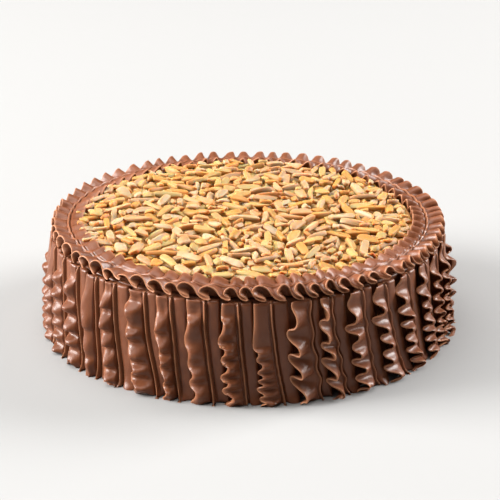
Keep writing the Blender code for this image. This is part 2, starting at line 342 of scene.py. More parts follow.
# The ridge and groove, in millimetres to the right and out, and then the band
LIP_PROFILE = (
    (-1.60, -0.50), (-1.18, -0.50), (-0.95, -0.42), (-0.72, 0.05), (-0.50, 0.52), (-0.24, 0.86), (0.00, 0.95),
    (0.22, 0.80), (0.36, 0.38), (0.44, -0.45), (0.53, -1.35), (0.72, -1.85), (1.00, -1.95), (1.22, -1.75),
    (1.40, -1.38), (1.65, -1.15), (2.10, -1.05),
)
LIP_LEFT_DROP = 0.0005
LIP_AT_TOP = 0.4
LIP_TOP_LENGTH = 0.0035
LIP_SWAY = 0.0006
LIP_SWAY_REACH = 0.0035
LIP_WANDER = 0.00025
LIP_WANDER_LENGTHS = (0.02, 0.06)
LIP_RIGHT = 0.0004
GROOVE_END = 0.0010
GROOVE_LENGTH = 0.0011
BAND_DEPTH = 0.00105
BAND_CROWN = 0.0006
BAND_CROWN_POWER = 0.8
BAND_UNEVENNESS = 0.3
BAND_UNEVEN_LENGTHS = (0.015, 0.05)
BAND_COLUMNS = 9
BAND_EDGE = 0.0013
BAND_EDGE_SHARES = (0.12, 0.08, 0.045, 0.02, 0.005, 0.0)
# The ribbon's ends, and where a paler tone is painted as glow on the free edge and highlight on the lip
TOP_ROUNDING = 0.0015
TOP_DROP = 0.0006
FOOT_ROUNDING = 0.0015
FOOT_FLARES = (0.0018, 0.0042)
FOOT_LENGTH = 0.0030
FOOT_LUMPS = (0.55, 0.6)
FOOT_LUMP_LENGTHS = (0.005, 0.014)
FOOT_LUMP_SPAN = 0.02
SEAM = 0.0003
RIBBON_ROWS = 116
ROUNDING_STEPS = 6
ROUNDING = 1 - np.cos(np.linspace(0, math.pi / 2, ROUNDING_STEPS))
# The painted glow reaches in from the free edge, and the painted highlight lies along the lip
PAINTED_GLOW_REACH = 0.0006
LIP_HIGHLIGHT_REACH = 0.0005
LIP_PAINTED_HIGHLIGHT = 0.75
PIPING_STEP = 0.05
Ribbon = namedtuple("Ribbon", "angle slant waves depth plain_top curl foot_sway")


def with_front(front, draw, limits):
    """Values for all the ribbons: those seen on the front, then the drawn ones."""
    values = draw(*limits, RIBBON_COUNT).astype(float)
    values[: len(front)] = front
    return values


def ribbon_layout(draws):
    """Every ribbon in order to the right, with what the photo shows for those on the front."""
    round_the_cake = 2 * math.pi * RIDGE_TOP_RADIUS
    front = np.array(FRONT_STEPS) * MILLIMETRE
    others = draws.uniform(*STEP_SPREAD, RIBBON_COUNT - len(front))
    others *= (round_the_cake - front.sum()) / others.sum()
    steps = np.concatenate([front, others])
    angles = FIRST_RIBBON_ANGLE + np.concatenate([[0.0], np.cumsum(steps)[:-1]]) / RIDGE_TOP_RADIUS
    slants = with_front(FRONT_SLANTS, draws.uniform, SLANT_SPREAD)
    slants *= MILLIMETRE / RIDGE_TOP_RADIUS
    waves = with_front(FRONT_WAVES, draws.integers, WAVE_SPREAD).astype(int)
    depths = with_front(FRONT_DEPTHS, draws.uniform, DEPTH_SPREAD)
    plain_tops = with_front(FRONT_PLAIN_TOPS, draws.uniform, PLAIN_TOP_SPREAD)
    curls = with_front(FRONT_CURLS, draws.uniform, CURL_SPREAD)
    depths[-LEFT_RIBBONS:] *= LEFT_DEPTH
    plain_tops[-LEFT_RIBBONS:] = LEFT_PLAIN_TOP
    curls[-LEFT_RIBBONS:] = 0
    foot_sways = with_front(FRONT_FOOT_SWAYS, draws.uniform, FOOT_SWAY_SPREAD)
    return [Ribbon(*values) for values in zip(angles, slants, waves, depths, plain_tops, curls, foot_sways)]


def smooth_step(value):
    """Rises from 0 to 1 as the value does, level at both ends: 3v^2 - 2v^3."""
    value = np.clip(value, 0, 1)
    return value * value * (3 - 2 * value)


def mixed(pillowed, curled, curl):
    """The value between that of a pillowed frill and that of a curled one."""
    return pillowed + (curled - pillowed) * curl


def gentle(draws, along, shortest, longest):
    """A smooth uneven line of about -1 to 1: three sines of drawn lengths and phases."""
    lengths = draws.uniform(shortest, longest, (3, 1))
    phases = draws.uniform(0, 2 * math.pi, (3, 1))
    return np.sin(2 * math.pi * along[None, :] / lengths + phases).sum(axis=0) / 2


def hand_wave(half, count, draws):
    """The swing of a frill, -1 at its troughs and 1 at its crests, and its phase.

    half counts half waves from the first trough. Each crest and trough is moved and sized a
    little by the hand, and the swing runs between them along half a cosine.
    """
    places = np.arange(2 * count + 2, dtype=float)
    sizes = np.where(places % 2 == 1, 1.0, -1.0) * (1 + draws.uniform(*SWING_SPREAD, len(places)))
    moved = places + draws.uniform(*PLACE_SPREAD, len(places))
    moved[0] = 0.0
    phase = np.interp(half, moved, places)
    low = np.minimum(phase.astype(int), len(places) - 2)
    swing = sizes[low] + (sizes[low + 1] - sizes[low]) * (1 - np.cos(math.pi * (phase - low))) / 2
    return swing, math.pi * phase


def frill_waves(ribbon, fall, draws):
    """The swing of each row of a frill, the length of its waves, and its sag as a share of that.

    The waves begin under the plain top, and their places are a power of the fall. A pillowed
    frill's swing goes up as a power, and a curled one's crests are rounded by a parabola of it.
    The sag is droop * swing + squareness * sin(2 phase) + lean * sin(phase).
    """
    count, plain, curl = ribbon.waves, ribbon.plain_top, ribbon.curl
    crowding = CROWDING - FOOT_CROWDING * ribbon.foot_sway * (1 - curl)
    half = 2 * count * np.clip((fall - plain) / (1 - plain), 0, 1) ** (1 / crowding)
    swing, phase = hand_wave(half, count, draws)
    puffed = 2 * (np.clip(1 + swing, 0, None) / 2) ** CREST_SHARPNESS - 1
    swing = mixed(puffed, swing + CREST_ROUNDNESS * (1 - swing**2), curl)
    if plain > 0:
        swing = swing * smooth_step(fall / plain)
    share = np.maximum(half, LEAST_HALF) / (2 * count)
    period = CAKE_HEIGHT * (1 - plain) * crowding * share ** (crowding - 1) / count
    droop = mixed(PILLOW_DROOP - FOOT_DROOP * ribbon.foot_sway, draws.uniform(*CURLED_DROOPS), curl)
    squareness = mixed(PILLOW_SQUARENESS, CURLED_SQUARENESS, curl)
    turning = squareness * np.sin(2 * phase) + CURLED_LEAN * curl * np.sin(phase)
    return swing, period, droop * swing + turning * (half > 0)


def frill_face(ribbon, down, room, draws):
    """The frill's face, each point's way in from the free edge, q, and the strength of each row's swing.

    x runs to the right of the ridge, y out from it and z up, and q goes from 1 at the free edge
    to 0 at the ridge: x = -width * q + sway * q^1.6, y = stand * form + wave * form, and z falls
    by the sag times q^2. Across, a pillowed frill is a parabola whose edge tucks in by the square
    of the way past a line, more at its crests. A curled one is a power of q with a bulge at each
    crest. The waves of a pillowed frill are shallower where they are short.
    """
    curl = ribbon.curl
    fall = down / CAKE_HEIGHT
    height = CAKE_HEIGHT - down
    swing, period, sag = frill_waves(ribbon, fall, draws)
    stand_top = STAND_AT_TOP + (CURLED_STAND_AT_TOP - STAND_AT_TOP) * curl
    opening = stand_top + (1 - stand_top) * smooth_step(fall / STAND_LENGTH)
    stand = FRILL_STAND * opening * (1 - FOOT_CLOSING * np.exp(-height / FOOT_CLOSING_LENGTH))
    strength = ribbon.depth * (WAVE_AT_TOP + (1 - WAVE_AT_TOP) * smooth_step(fall / WAVE_LENGTH)) * swing
    ends = smooth_step(height / STILL_FOOT) * smooth_step(down / STILL_TOP)

    gap = draws.uniform(*GAP_AT_TOP) * np.exp(-down / GAP_LENGTH)
    width = (room * (1 - gap + EDGE_WANDER * gentle(draws, height, *EDGE_WANDER_LENGTHS)))[:, None]
    rim = FRILL_EDGE * ROUNDING
    reach = np.linspace(0, 1, FRILL_COLUMNS)[1:] ** FRILL_CROWDING
    left_of_lip = -LIP_PROFILE[0][0] * MILLIMETRE
    from_edge = np.concatenate([
        np.broadcast_to(rim, (len(down), len(rim))),
        FRILL_EDGE + (width - FRILL_EDGE - left_of_lip - COLUMN_GAP) * reach,
    ], axis=1)
    q = 1 - from_edge / width

    pillow_sway = PILLOW_SWAY + PILLOW_FOOT_SWAY * ribbon.foot_sway * fall**2
    sway = mixed(pillow_sway, CURLED_SWAY, curl) * strength
    x = -width * q + sway[:, None] * q**SWAY_POWER
    pillow = 1 - ((PILLOW_TOP - q) / PILLOW_TOP) ** 2
    tuck_depth = (1 - curl) * (EDGE_TUCK + CREST_TUCK * np.clip(swing, 0, 1) * ribbon.depth)[:, None]
    tuck = tuck_depth * np.clip((q - TUCK_FROM) / TUCK_REACH, 0, 1) ** 2
    y = stand[:, None] * mixed(pillow, q**CURLED_POWER, curl) - tuck - LIP_LEFT_DROP * (1 - q)
    pillow_wave = PILLOW_WAVE * np.clip(period / FULL_PERIOD, SHORT_DEPTH, 1)
    wave = (mixed(pillow_wave, CURLED_WAVE, curl) * strength)[:, None]
    y = y + wave * mixed(smooth_step(q / PUFF_RISE), q**CURLED_WAVE_POWER, curl)
    y = y + CREST_BULGE * curl * np.clip(swing, 0, 1)[:, None] * np.sin(math.pi * q)
    z = height[:, None] - (period * ends * sag)[:, None] * q**2
    return np.stack([x, y, z]), from_edge, q, strength


def band_face(down, width, draws):
    """The face of the lip, the groove and the band, in columns to the right.

    The lip follows its profile, and is lower at the top. The band is crowned by a power of a sine
    across it, unevenly down its length, and its right edge is a quarter of a circle.
    """
    height = CAKE_HEIGHT - down
    lip_x, lip_y = np.array(LIP_PROFILE).T * MILLIMETRE
    rest = np.concatenate([np.linspace(0, 1, BAND_COLUMNS)[1:-1], 1 - np.array(BAND_EDGE_SHARES)])
    x = np.concatenate([
        np.broadcast_to(lip_x, (len(down), len(lip_x))),
        lip_x[-1] + (width - lip_x[-1]) * rest,
    ], axis=1)
    across = np.clip(x / width, 0, 1)
    past_groove = smooth_step((x - GROOVE_END) / GROOVE_LENGTH)
    from_right = np.clip((width - x) / BAND_EDGE, 0, 1)
    plain_level = np.where(lip_x < LIP_RIGHT, -LIP_LEFT_DROP, -BAND_DEPTH)
    lip_size = (LIP_AT_TOP + (1 - LIP_AT_TOP) * smooth_step(down / LIP_TOP_LENGTH))[:, None]
    y = np.full(x.shape, -BAND_DEPTH)
    y[:, : len(lip_x)] = plain_level + (lip_y - plain_level) * lip_size
    uneven = (1 + BAND_UNEVENNESS * gentle(draws, height, *BAND_UNEVEN_LENGTHS))[:, None]
    y = y + BAND_CROWN * np.sin(math.pi * across) ** BAND_CROWN_POWER * past_groove * uneven
    y = y - BAND_EDGE * (1 - np.sqrt(1 - (1 - from_right) ** 2))
    return np.stack([x, y, np.broadcast_to(height[:, None], x.shape)])


def facing(normal, axis):
    """The normals at unit length, turned over together where on the whole they point back along an axis."""
    normal = normal / np.linalg.norm(normal, axis=-1, keepdims=True)
    return normal * np.where(normal[..., axis].mean() < 0, -1, 1)


def rounded_off(from_edge, radius):
    """How far a rounded edge lies behind the face: r - sqrt(r^2 - (r - d)^2) at the way d in from it."""
    inside = radius - np.minimum(from_edge, radius)
    return radius - np.sqrt(radius**2 - inside**2)


def both_faces(face, from_edge, root, down, core):
    """The outer face, and behind it the inner one, from right to left.

    The inner face lies one thickness behind the frill, and on the coat behind the rest. The
    thickness grows with a power of root, which is 0 at the free edge and 1 from the ridge on.
    Both ends are rounded by quarter circles.
    """
    normal = facing(np.cross(np.gradient(face, axis=1), np.gradient(face, axis=0)), axis=1)
    hidden = rounded_off(from_edge, FRILL_EDGE)
    thickness = 2 * FRILL_EDGE + (FRILL_ROOT_THICKNESS - 2 * FRILL_EDGE) * root**FRILL_ROOT_POWER
    joined = smooth_step((face[..., 0] + FRILL_ROOT + JOIN_OVERLAP) / JOIN_LENGTH)
    room = thickness / 2 - hidden
    height = CAKE_HEIGHT - down
    inset = 0
    for from_end, rounding in ((down, TOP_ROUNDING), (height, FOOT_ROUNDING)):
        near = 1 - np.clip(from_end / rounding, 0, 1)
        inset = inset + (1 - np.sqrt(1 - near**2))[:, None] * (room + (rounding - room) * joined)
    outer = face - normal * (hidden + inset)[..., None]
    inner = face - normal * (thickness - hidden - inset * (1 - joined))[..., None]
    on_coat = np.stack(np.broadcast_arrays(face[..., 0], core[:, None], height[:, None]), axis=-1)
    inner += (on_coat - inner) * joined[..., None]
    inner[..., 1] = np.maximum(inner[..., 1], core[:, None])
    return np.concatenate([outer, inner[:, ::-1]], axis=1)


def middle_line(ribbon, fall):
    """The angle of a ribbon's ridge as it falls, its slant growing as a power of the fall."""
    return ribbon.angle + ribbon.slant * fall**SLANT_BEND


def ribbon_skin(ribbon, before, after, place, draws):
    """The points, painted glow and highlight, and piping of one ribbon, between the ones before and after it.

    Its rows go down it and its columns round it, from the free edge over the frill, the lip and
    the band and back behind them. The foot flares out as a falling exponential of its height.
    """
    main = np.linspace(TOP_ROUNDING, CAKE_HEIGHT - FOOT_ROUNDING, RIBBON_ROWS)
    foot = CAKE_HEIGHT - FOOT_ROUNDING * ROUNDING[-2::-1]
    down = np.concatenate([TOP_ROUNDING * ROUNDING[:-1], main, foot])
    fall = down / CAKE_HEIGHT
    height = CAKE_HEIGHT - down
    middle, left, right = (middle_line(one, fall) for one in (ribbon, before, after))
    left = np.where(left > middle, left - 2 * math.pi, left)
    right = np.where(right < middle, right + 2 * math.pi, right)
    ridge = RIDGE_TOP_RADIUS + (RIDGE_FOOT_RADIUS - RIDGE_TOP_RADIUS) * fall
    core = CAKE_TOP_RADIUS + (CAKE_FOOT_RADIUS - CAKE_TOP_RADIUS) * fall + SEAM - ridge

    frill, from_edge, q, strength = frill_face(ribbon, down, FRILL_SHARE * (middle - left) * ridge, draws)
    band = band_face(down, (BAND_SHARE * (right - middle) * ridge)[:, None], draws)
    x, y, z = np.concatenate([frill, band], axis=2)
    sideways = LIP_WANDER * gentle(draws, height, *LIP_WANDER_LENGTHS) - LIP_SWAY * ribbon.curl * strength
    x = x + sideways[:, None] * np.exp(-((x / LIP_SWAY_REACH) ** 2))
    level, swell = FOOT_LUMPS
    lumps = level + swell * gentle(draws, np.linspace(0, FOOT_LUMP_SPAN, x.shape[1]), *FOOT_LUMP_LENGTHS)
    y = y + draws.uniform(*FOOT_FLARES) * np.exp(-height / FOOT_LENGTH)[:, None] * lumps

    plain = np.ones(band[0].shape)
    skin = both_faces(
        np.stack([x, y, z], axis=-1), np.concatenate([from_edge, FRILL_EDGE * plain], axis=1),
        np.concatenate([1 - q, plain], axis=1), down, core,
    )
    skin[..., 2] = np.clip(skin[..., 2], 0.0, CAKE_HEIGHT) * (1 - draws.uniform(0, TOP_DROP) / CAKE_HEIGHT)
    angle = middle[:, None] + skin[..., 0] / ridge[:, None]
    points = on_circle(angle, ridge[:, None] + skin[..., 1], skin[..., 2])
    # Painted glow on the thin free edge and painted highlight on the lip, as a paler tone
    painted_edge_glow = np.exp(-from_edge / PAINTED_GLOW_REACH)
    painted_lip_highlight = LIP_PAINTED_HIGHLIGHT * np.exp(-((band[0] / LIP_HIGHLIGHT_REACH) ** 2))
    painted_glow = np.concatenate([painted_edge_glow, painted_lip_highlight, painted_lip_highlight[:, ::-1], painted_edge_glow[:, ::-1]], axis=1)
    piping = np.stack([skin[..., 0] + PIPING_STEP * place, skin[..., 2]], axis=-1)
    return points, painted_glow, piping


def ladder_cap(row, size, flipped):
    """Quads across one end of a skin, from each point of the outer face to its partner on the inner one."""
    left = np.arange(size // 2 - 1)
    right = size - 1 - left
    quads = row * size + np.stack([left, left + 1, right - 1, right], axis=1)
    return quads[:, ::-1] if flipped else quads


ribbons = ribbon_layout(np.random.default_rng(LAYOUT_SEED))
hand = np.random.default_rng(HAND_SEED)
for index, ribbon in enumerate(ribbons):
    after = ribbons[(index + 1) % RIBBON_COUNT]
    points, painted_glow, piping = ribbon_skin(ribbon, ribbons[index - 1], after, index, hand)
    rows, size = points.shape[:2]
    caps = [ladder_cap(0, size, True), ladder_cap(rows - 1, size, False)]
    faces = np.concatenate([grid_faces(rows, size), *caps]).tolist()
    number = f"{index + 1:02d}"
    nodes = [f"side_ruffle_{number}"]
    food_piece(f"ribbon_{number}", points, faces, buttercream, nodes, painted_glow, piping)


# The top border
# One more ribbon of buttercream, laid flat round the edge of the top with the tip shaken along.
# Its outer edge rolls over to the left in curls that open to the right, its inner edge stands
# in small arches over the almonds, and the tip's ridge runs along its middle.
BORDER_WAVES = 70
BORDER_BASE = CAKE_HEIGHT + SEAM
BORDER_TIP_RADIUS = 0.1115
BORDER_TIP_HEIGHT = 0.0616
BORDER_CURL = 0.0044
BORDER_CURL_POWER = 0.9
BORDER_FOLD_POWER = 1.6
BORDER_ROOT_POWER = 1.3
BORDER_ALONG = (-0.282, 0.144, 0.101, 0.103, -0.017, -0.020)
BORDER_UP = (0.945, -0.038, 0.062, 0.022, 0.034, -0.039)
BORDER_TIP_SWING = 0.0012
BORDER_TUCK = 0.0014
BORDER_RIDGE_RADIUS = 0.1025
BORDER_RIDGE_HEIGHT = 0.0618
BORDER_RIDGE_WAVE = 0.0007
BORDER_INNER_RADIUS = 0.0943
BORDER_INNER_HEIGHT = 0.0616
BORDER_ARCH = 0.0036
BORDER_ARCH_PARTS = (1.6, 0.4, 0.6)
BORDER_ARCH_POWER = 1.5
BORDER_INNER_FOLD = 0.58
BORDER_INNER_FALL = 0.78
BORDER_PILLOW = 0.0010
BORDER_EDGE = 0.00038
BORDER_THICKNESS = 0.0028
BORDER_FOOT_RADII = (0.0965, 0.1065)
BORDER_FOOT_OVERLAP = 0.0015
BORDER_FOOT_JOIN = 0.002
BORDER_LEAST_WALL = 0.0002
BORDER_LIP_PROFILE = (
    (1.60, 0.00), (1.20, -0.10), (0.85, -0.10), (0.60, 0.25), (0.35, 0.70), (0.10, 0.90),
    (-0.12, 0.72), (-0.30, 0.10), (-0.45, -0.60), (-0.75, -0.85), (-1.05, -0.60), (-1.40, -0.10),
)
# The paler tone painted along the ridge's lip as a highlight
BORDER_LIP_PAINTED_HIGHLIGHT = 0.5
BORDER_LIP_HIGHLIGHT_REACH = 0.0004
BORDER_COLUMN_GAP = 0.0004
BORDER_OUTER_COLUMNS = 13
BORDER_INNER_COLUMNS = 9
BORDER_EDGE_COLUMNS = 4
BORDER_JOIN_ANGLE = math.radians(-38)
BORDER_JOIN_WIDTH = math.radians(4)
BORDER_JOIN_FLATNESS = 0.72
BORDER_JOIN_LUMP = 0.0012
CURL_LENGTH_SPREAD = (0.72, 1.28)
CURL_DEPTH_SPREAD = (0.72, 1.08)
BACK_CURL_FALL = 0.36
BACK_ARCH_RISE = 0.25
BACK_CURL_ROUNDING = 1.6
BACK_CURL_UPRIGHT = 0.9
CURL_ROLL = 1.15
SAMPLES_PER_CURL = 17


def border_waves(draws):
    """The waves of the border, as one value for each row round the cake.

    With the phase a of a curl, its crest and its fold along the border are each a sum of cos(a),
    sin(a), cos(2a), sin(2a), cos(3a) and sin(3a), so that its left side overhangs and its foot
    turns back under it. The fold goes with the square root of the depth. Towards the back the
    curls get lower and more upright, their crests become 1 - 2 ((1 - cos a) / 2)^rounding, and
    the arches get higher. An arch is 1.6 cos(pi w / 2) - 0.4 w - 0.6, where w goes slowly from 0
    to 1 down its right side and quickly back up the left side of the next one.
    """
    lengths = draws.uniform(*CURL_LENGTH_SPREAD, BORDER_WAVES)
    lengths *= 2 * math.pi / lengths.sum()
    depths = draws.uniform(*CURL_DEPTH_SPREAD, BORDER_WAVES)
    starts = np.concatenate([[0.0], np.cumsum(lengths)[:-1]])
    share = np.arange(SAMPLES_PER_CURL) / SAMPLES_PER_CURL
    along = (starts[:, None] + lengths[:, None] * share).ravel()
    phase = np.tile(2 * math.pi * share, BORDER_WAVES)
    blend = (1 - np.cos(math.pi * share)) / 2
    length, depth = (
        (own[:, None] * (1 - blend) + np.roll(own, -1)[:, None] * blend).ravel() for own in (lengths, depths)
    )
    from_join = (along - BORDER_JOIN_ANGLE + math.pi) % (2 * math.pi) - math.pi
    join = np.exp(-((from_join / BORDER_JOIN_WIDTH) ** 2))
    depth *= 1 - BORDER_JOIN_FLATNESS * join
    back = (1 - np.cos(along)) / 2
    inner_depth = depth * (1 + BACK_ARCH_RISE * back)
    depth = depth * (1 - BACK_CURL_FALL * back)
    turns = np.stack([part(number * phase) for number in (1, 2, 3) for part in (np.cos, np.sin)])
    fold, rise = np.array(BORDER_ALONG) @ turns, np.array(BORDER_UP) @ turns
    fold = CURL_ROLL * np.sqrt(depth) * fold * (1 - BACK_CURL_UPRIGHT * back)
    rounded = 1 - 2 * ((1 - np.cos(phase)) / 2) ** BACK_CURL_ROUNDING
    crest = depth * (rise + (rounded - rise) * back)
    down_arch = np.minimum(share / BORDER_INNER_FALL, (1 - share) / (1 - BORDER_INNER_FALL))
    high, slope, low = BORDER_ARCH_PARTS
    form = high * np.cos(math.pi / 2 * down_arch) - slope * down_arch - low
    arch = inner_depth * np.tile(form, BORDER_WAVES)
    return along, length, fold, crest, depth * np.sin(phase), arch, BORDER_JOIN_LUMP * join


def border_skin(draws):
    """The points, painted glow and highlight, and piping of the border.

    Its rows go round the cake and its columns from the outer edge over the lip to the inner one
    and back below. With q from 0 at the lip to 1 at the outer edge, a curl rises with q^0.9,
    swings in with q^2 and folds along with q^1.6. With p from 0 at the lip to 1 at the inner
    edge, an arch rises and folds with p^1.5, over a pillow of sin(pi p).
    """
    along, length, fold, crest, side, arch, lump = (part[:, None] for part in border_waves(draws))
    rim = BORDER_EDGE * (1 - np.cos(np.linspace(0, math.pi / 2, BORDER_EDGE_COLUMNS)))
    lip, lip_rise = np.array(BORDER_LIP_PROFILE).T * MILLIMETRE
    outer_width = BORDER_TIP_RADIUS - BORDER_RIDGE_RADIUS
    inner_width = BORDER_RIDGE_RADIUS - BORDER_INNER_RADIUS
    outer_end = outer_width - lip[0] - BORDER_COLUMN_GAP
    inner_end = inner_width + lip[-1] - BORDER_COLUMN_GAP
    outer_in = np.concatenate([rim, np.linspace(BORDER_EDGE, outer_end, BORDER_OUTER_COLUMNS)[1:]])
    inner_in = np.concatenate([rim, np.linspace(BORDER_EDGE, inner_end, BORDER_INNER_COLUMNS)[1:]])[::-1]
    radius = np.concatenate([
        BORDER_TIP_RADIUS - outer_in,
        BORDER_RIDGE_RADIUS + lip,
        BORDER_INNER_RADIUS + inner_in,
    ])
    q = np.clip((radius - BORDER_RIDGE_RADIUS) / outer_width, 0, 1)[None, :]
    p = np.clip((BORDER_RIDGE_RADIUS - radius) / inner_width, 0, 1)[None, :]
    height = BORDER_RIDGE_HEIGHT + (BORDER_TIP_HEIGHT - BORDER_RIDGE_HEIGHT) * q**2
    height = height + (BORDER_INNER_HEIGHT - BORDER_RIDGE_HEIGHT) * p**2
    height = height + (BORDER_PILLOW + lump) * np.sin(math.pi * p)
    height[:, len(outer_in) : len(outer_in) + len(lip)] += lip_rise
    curl = BORDER_RIDGE_WAVE + (BORDER_CURL - BORDER_RIDGE_WAVE) * q**BORDER_CURL_POWER
    height = height + crest * curl * (p == 0)
    inner_rise = crest * BORDER_RIDGE_WAVE * (1 - p) + arch * BORDER_ARCH * p**BORDER_ARCH_POWER
    height = height + inner_rise * (p > 0)
    radius = radius[None, :] - (BORDER_TIP_SWING * crest + BORDER_TUCK * side) * q**2
    angle = along + length * fold * (q**BORDER_FOLD_POWER + BORDER_INNER_FOLD * p**BORDER_ARCH_POWER)
    face = on_circle(angle, radius, height)

    turn = np.concatenate([face[-1:], face, face[:1]])
    normal = facing(np.cross(np.gradient(turn, axis=0)[1:-1], np.gradient(face, axis=1)), axis=2)
    from_edge = np.concatenate([outer_in, np.ones(len(lip)), inner_in])
    hidden = rounded_off(from_edge, BORDER_EDGE)[None, :]
    root = (1 - np.maximum(p, q)) ** BORDER_ROOT_POWER
    thickness = 2 * BORDER_EDGE + (BORDER_THICKNESS - 2 * BORDER_EDGE) * root
    outer = face - normal * hidden[..., None]
    inner = face - normal * (thickness - hidden)[..., None]
    low, high = BORDER_FOOT_RADII
    joined = smooth_step((radius - low + BORDER_FOOT_OVERLAP) / BORDER_FOOT_JOIN)
    joined = joined * smooth_step((high + BORDER_FOOT_OVERLAP - radius) / BORDER_FOOT_JOIN)
    inner += (on_circle(along, radius, BORDER_BASE) - inner) * joined[..., None]
    inner[..., 2] = np.maximum(inner[..., 2], BORDER_BASE)
    outer[..., 2] = np.maximum(outer[..., 2], BORDER_BASE + BORDER_LEAST_WALL)
    points = np.concatenate([outer, inner[:, ::-1]], axis=1)
    # Painted glow on the thin edges and painted highlight along the ridge's lip
    from_ridge = (radius - BORDER_RIDGE_RADIUS) / BORDER_LIP_HIGHLIGHT_REACH
    painted_border_glow = np.exp(-from_edge / PAINTED_GLOW_REACH) + BORDER_LIP_PAINTED_HIGHLIGHT * np.exp(-(from_ridge**2))
    painted_glow = np.concatenate([painted_border_glow, painted_border_glow[:, ::-1]], axis=1)
    piping = np.stack(np.broadcast_arrays(radius, along * BORDER_RIDGE_RADIUS), axis=-1)
    return points, painted_glow, np.concatenate([piping, piping[:, ::-1]], axis=1)


points, painted_glow, piping = border_skin(np.random.default_rng(LAYOUT_SEED + 1))
faces = grid_faces(*points.shape[:2], rows_close=True)[:, ::-1].tolist()
food_piece("top_curls", points, faces, buttercream, ["top_border"], painted_glow, piping)


# The almonds
# Blanched almonds cut into slivers, toasted until their edges brown, and strewn over the top
# inside the border two or three deep, about half of them propped aslant on the others.
# They lie in a thin bed of the same buttercream.
ALMOND_RADIUS = 0.0940
HEAP_SHIFT = -0.0020
SLIVERS_TRIED = 1500
BITS_FROM = 1200
SLIVER_LENGTHS = (0.0100, 0.0180)
SLIVER_WIDTHS = (0.0028, 0.0048)
SLIVER_THICKNESSES = (0.0022, 0.0034)
SLIVER_ROLLS = (-0.8, 0.8)
FLAKE_SHARE = 0.12
FLAKE_WIDTH = 1.5
FLAKE_THICKNESS = 0.7
FLAKE_ROLL = 0.4
ROLLED_WIDTH = 0.7
BROKEN_SHARE = 0.25
BROKEN_LENGTHS = (0.0045, 0.0090)
BIT_LENGTHS = (0.0045, 0.0085)
BIT_THICKNESS = 0.80
SLIVER_SECTION = (
    (1.0, 0.55), (0.80, 1.0), (-0.80, 1.0), (-1.0, 0.55),
    (-1.0, -0.55), (-0.80, -1.0), (0.80, -1.0), (1.0, -0.55),
)
SLIVER_STATIONS = (-1.0, -0.94, -0.78, -0.40, 0.0, 0.40, 0.78, 0.94, 1.0)
SLIVER_ENDS = (0.08, 0.70)
SLIVER_BLUNTNESS = (2.5, 9.0)
SLIVER_TIP = 0.86
SLIVER_BOWS = (-0.0007, 0.0007)
SLIVER_SAGS = (-0.0003, 0.0004)
SLIVER_TWISTS = (-0.4, 0.4)
SLIVER_CUTS = (-0.9, 0.9)
SLIVER_CUT_POWER = 5
SLIVER_EVEN_RISE = 0.45
SLIVER_SLOPE = 0.62
PROPPED_SHARE = 0.55
PROPPED_LEANS = (-0.42, 0.42)
SLIVER_SINK = 0.0009
RESTING_LENGTH = np.linspace(-0.46, 0.46, 15)
RESTING_WIDTH = np.linspace(-0.38, 0.38, 4)
SLIVER_CREASE = math.radians(55)
FIELD_CELL = 0.0008
TRIES = 50
EDGE_OVERLAP = 0.15
HEAP_TOP = 0.0660
HEAP_EDGE_FALL = 0.0010
HEAP_EDGE_POWER = 8
BORDER_LEAN_HEIGHT = 0.0616
BORDER_LEAN_REACH = 0.0030
ALMOND_SEED = 23
BED_HEIGHT = 0.0600
ALMOND_TONES = (
    (0.312, 0.250, 0.152),
    (0.304, 0.232, 0.086),
    (0.300, 0.166, 0.040),
    (0.296, 0.206, 0.114),
)
ALMOND_TONE_SHARES = (0.30, 0.38, 0.16, 0.16)
TONE_SPREAD = (0.88, 1.10)
ALMOND_BROWN = (0.372, 0.150, 0.027)
OWN_TOAST = 0.80
OWN_TOAST_SHAPE = (0.5, 3.2)
EDGE_TOASTS = (-0.35, 0.35)
SIDE_TOAST = 0.28
END_TOASTS = (-0.2, 0.7)
END_TOAST_POWER = 6


def almond_finish():
    """Toasted almond: each sliver's own tone with brown spots, and fine grain."""
    finish, tree, shader = new_finish("toasted_almond")
    own_tone = set_values(tree.nodes.new("ShaderNodeAttribute"), attribute_name="almond_tone")
    spots = spread(tree, noise(tree, scale=200.0, detail=3.0), From_Min=0.48, From_Max=0.75, To_Max=0.5)
    browned = mixed_tone(tree, spots, own_tone.outputs["Color"], (*ALMOND_BROWN, 1))
    tree.links.new(browned, shader.inputs["Base Color"])
    grain = relief(tree, noise(tree, scale=700.0, detail=3.0), strength=0.35, distance=0.00015)
    tree.links.new(grain, shader.inputs["Normal"])
    set_values(shader, Roughness=0.55, Specular_IOR_Level=0.35)
    set_values(shader, Subsurface_Weight=0.90, Subsurface_Radius=(1.0, 0.5, 0.2), Subsurface_Scale=0.0040)
    return finish


def cut_slivers(draws):
    """Length, width, thickness, roll and lean of every sliver in the order that they are strewn.

    Some are broken, some are wide thin flakes, and the last ones are small bits.
    """
    lengths = draws.uniform(*SLIVER_LENGTHS, SLIVERS_TRIED)
    broken = draws.random(SLIVERS_TRIED) < BROKEN_SHARE
    lengths[broken] = draws.uniform(*BROKEN_LENGTHS, broken.sum())
    lengths[BITS_FROM:] = draws.uniform(*BIT_LENGTHS, SLIVERS_TRIED - BITS_FROM)
    widths = draws.uniform(*SLIVER_WIDTHS, SLIVERS_TRIED)
    thicknesses = draws.uniform(*SLIVER_THICKNESSES, SLIVERS_TRIED)
    thicknesses[BITS_FROM:] *= BIT_THICKNESS
    widths[BITS_FROM:] *= BIT_THICKNESS
    rolls = draws.uniform(*SLIVER_ROLLS, SLIVERS_TRIED)
    flakes = draws.random(SLIVERS_TRIED) < FLAKE_SHARE
    widths[flakes] *= FLAKE_WIDTH
    thicknesses[flakes] *= FLAKE_THICKNESS
    rolls[flakes] *= FLAKE_ROLL
    leans = draws.uniform(*PROPPED_LEANS, SLIVERS_TRIED) * (draws.random(SLIVERS_TRIED) < PROPPED_SHARE)
    return lengths, widths, thicknesses, rolls, leans


